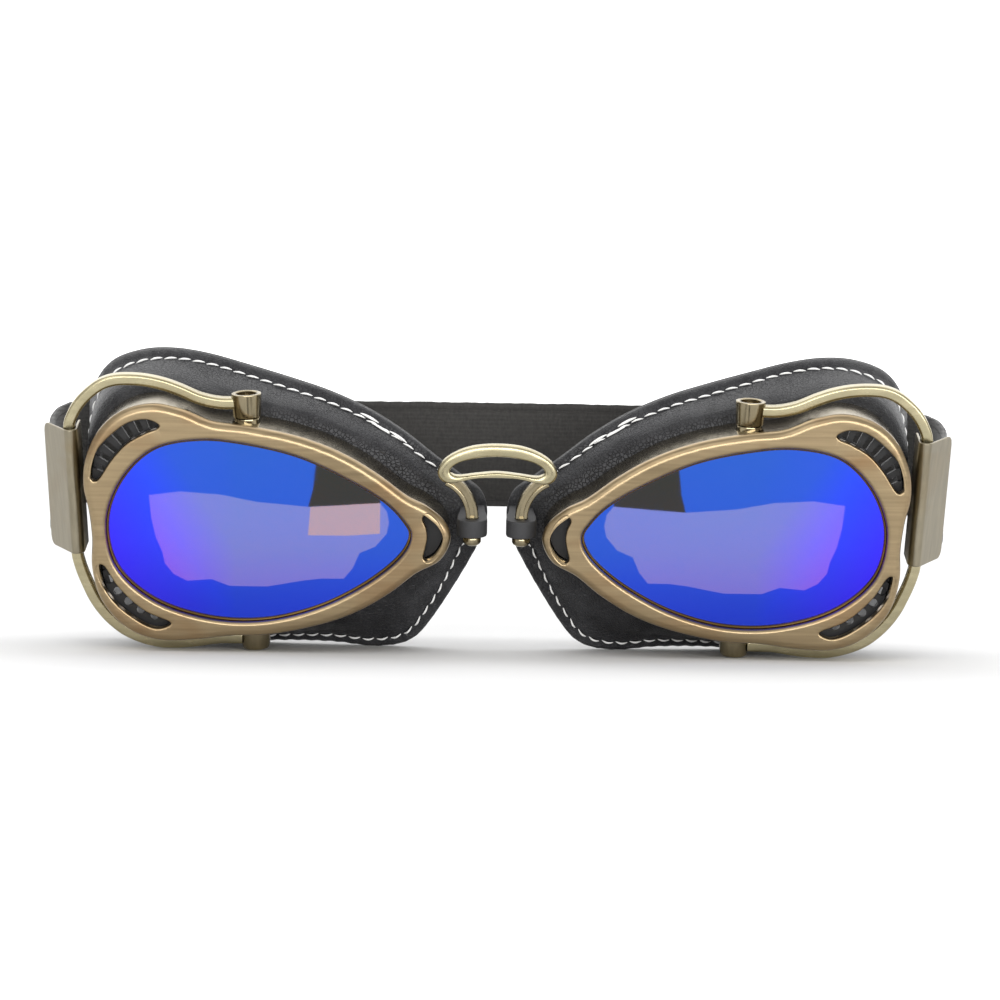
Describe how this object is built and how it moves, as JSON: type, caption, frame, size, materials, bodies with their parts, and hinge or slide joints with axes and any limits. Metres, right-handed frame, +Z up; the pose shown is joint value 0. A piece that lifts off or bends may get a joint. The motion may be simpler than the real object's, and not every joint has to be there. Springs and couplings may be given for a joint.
{
  "type": "riding goggles",
  "caption": "Split riding goggles: cast brass-finish eye frames with mirrored lenses and padded leather skirts, joined by a hinged nose bridge, with swinging strap arms and an elastic strap.",
  "frame": {"origin": "centre of the bounding box, at its base, where the arms and skirts stand on a surface", "axes": "+X to the right of the pictured front view, +Y from the lenses back to the wearer, +Z up"},
  "size_m": [0.207, 0.0725, 0.0678],
  "materials": {
    "antique_brass": "brushed antique brass plate",
    "antique_brass_casting": "light alloy casting, brushed antique brass plate",
    "dark_brass": "dark antique brass",
    "mirrored_lens": "blue mirror coat on polycarbonate",
    "amber_trim": "glossy amber",
    "black_moulding": "matte",
    "black_leather": "soft sheen",
    "foam_pad": "fleece-faced foam",
    "elastic_webbing": "ribbed elastic webbing"
  },
  "bodies": {
    "nose_bridge": {"nose_bridge": "antique_brass", "bridge_end_cap_left": "antique_brass", "bridge_end_cap_right": "antique_brass", "strap_rear": "elastic_webbing"},
    "cup_left": {"eye_frame_left": "antique_brass_casting", "lens_left": "mirrored_lens", "lens_gasket_left": "amber_trim", "vent_liner_left": "black_moulding", "leather_skirt_left": "black_leather", "face_pad_left": "foam_pad", "bridge_keeper_left": "black_leather", "hinge_screws_left": "dark_brass"},
    "cup_right": {"eye_frame_right": "antique_brass_casting", "lens_right": "mirrored_lens", "lens_gasket_right": "amber_trim", "vent_liner_right": "black_moulding", "leather_skirt_right": "black_leather", "face_pad_right": "foam_pad", "bridge_keeper_right": "black_leather", "hinge_screws_right": "dark_brass"},
    "arm_left": {"outrigger_arm_left": "antique_brass_casting", "strap_clip_left": "antique_brass_casting", "strap_side_left": "elastic_webbing"},
    "arm_right": {"outrigger_arm_right": "antique_brass_casting", "strap_clip_right": "antique_brass_casting", "strap_side_right": "elastic_webbing"},
    "strap_slider": {"strap_slider": "black_moulding", "strap_tab": "elastic_webbing"}
  },
  "joints": [
    {"name": "cup_left_hinge", "type": "hinge", "parent": "nose_bridge", "child": "cup_left", "pos_m": [-0.0055, -0.02339, 0.02895], "axis": [0, 0.1908, -0.9816], "range_deg": [-35, 6], "deforming": ["strap_side_left"]},
    {"name": "cup_right_hinge", "type": "hinge", "parent": "nose_bridge", "child": "cup_right", "pos_m": [0.0055, -0.02339, 0.02895], "axis": [0, -0.1908, 0.9816], "range_deg": [-35, 6], "deforming": ["strap_side_right"]},
    {"name": "arm_left_hinge", "type": "hinge", "parent": "cup_left", "child": "arm_left", "pos_m": [-0.0551, -0.02192, 0.02924], "axis": [0.0407, 0.1907, -0.9808], "range_deg": [-35, 2], "deforming": ["strap_side_left"]},
    {"name": "arm_right_hinge", "type": "hinge", "parent": "cup_right", "child": "arm_right", "pos_m": [0.0551, -0.02192, 0.02924], "axis": [0.0407, -0.1907, 0.9808], "range_deg": [-35, 2], "deforming": ["strap_side_right"]},
    {"name": "strap_slider_slide", "type": "slide", "parent": "nose_bridge", "child": "strap_slider", "axis": [1, 0, 0], "range_m": [-0.01, 0.01]}
  ]
}
